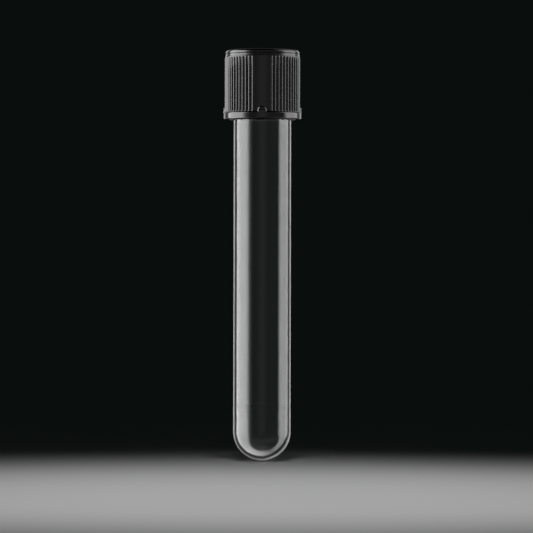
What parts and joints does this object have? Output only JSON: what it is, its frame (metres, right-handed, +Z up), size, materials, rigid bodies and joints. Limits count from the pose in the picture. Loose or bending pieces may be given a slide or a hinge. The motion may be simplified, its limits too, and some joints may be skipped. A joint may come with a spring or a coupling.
{
  "type": "screw-cap test tube",
  "caption": "Round-bottom glass culture tube with a threaded neck, closed by a ribbed and flanged screw cap that holds a faced elastic liner.",
  "frame": {"origin": "the lowest point of the tube's round bottom, on the tube's axis, with the tube upright and the cap tight", "axes": "+Z up the tube's axis to the cap; -Y is the front, which one smooth panel and one lug of the cap face, and +X is the viewer's right"},
  "size_m": [0.0216, 0.0216, 0.1132],
  "materials": {
    "glass": "clear, fire-polished",
    "cap_plastic": "black moulded plastic, satin to semi-gloss",
    "pad_rubber": "matte elastomer",
    "facing_plastic": "smooth white inert film"
  },
  "bodies": {
    "tube": {"glass_tube": "glass"},
    "liner": {"liner_pad": "pad_rubber", "liner_facing": "facing_plastic"},
    "cap": {"cap_shell": "cap_plastic"}
  },
  "joints": [
    {"name": "cap_lift", "type": "slide", "parent": "tube", "child": "liner", "axis": [0, 0, 1], "range_m": [0, 0.018]},
    {"name": "cap_turn", "type": "hinge", "parent": "liner", "child": "cap", "pos_m": [0, 0, 0.104], "axis": [0, 0, 1], "range_deg": [0, 2160]}
  ],
  "couplings": [
    {"joint": "cap_lift", "follows": "cap_turn", "m_per_rad": 0.00047746}
  ]
}
